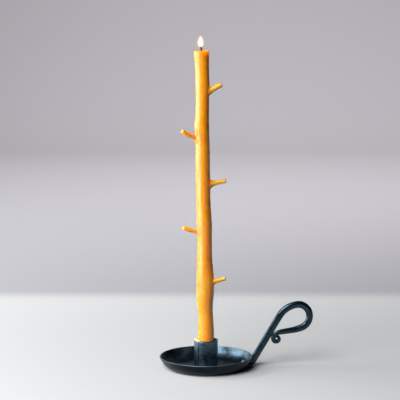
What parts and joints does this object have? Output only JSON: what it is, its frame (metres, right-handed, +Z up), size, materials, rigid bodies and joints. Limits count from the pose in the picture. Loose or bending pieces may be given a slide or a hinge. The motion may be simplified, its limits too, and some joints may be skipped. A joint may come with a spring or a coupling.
{
  "type": "twig candle in chamberstick",
  "caption": "Twig-shaped wax candle with side stubs, standing in a black forged-iron chamberstick: a drip pan with a rolled candle cup and a looped handle. The candle lifts out.",
  "frame": {"origin": "on the axis of the candle cup, in the plane that the pan rests on", "axes": "+Z up along the candle cup, +X towards the handle, +Y to the handle's left seen from the candle"},
  "size_m": [0.1663, 0.1, 0.3444],
  "materials": {
    "black_iron": "satin",
    "beeswax": "satin",
    "set_wax": "satin",
    "burnt_cotton": "matte"
  },
  "bodies": {
    "holder": {"drip_pan": "black_iron", "socket_tube": "black_iron", "socket_base": "black_iron", "socket_rivet": "black_iron", "handle": "black_iron", "wax_bedding": "set_wax"},
    "candle": {"candle_stem": "beeswax", "wick": "burnt_cotton"}
  },
  "joints": [
    {"name": "candle_lift", "type": "slide", "parent": "holder", "child": "candle", "axis": [0, 0, 1], "range_m": [0, 0.04]}
  ]
}
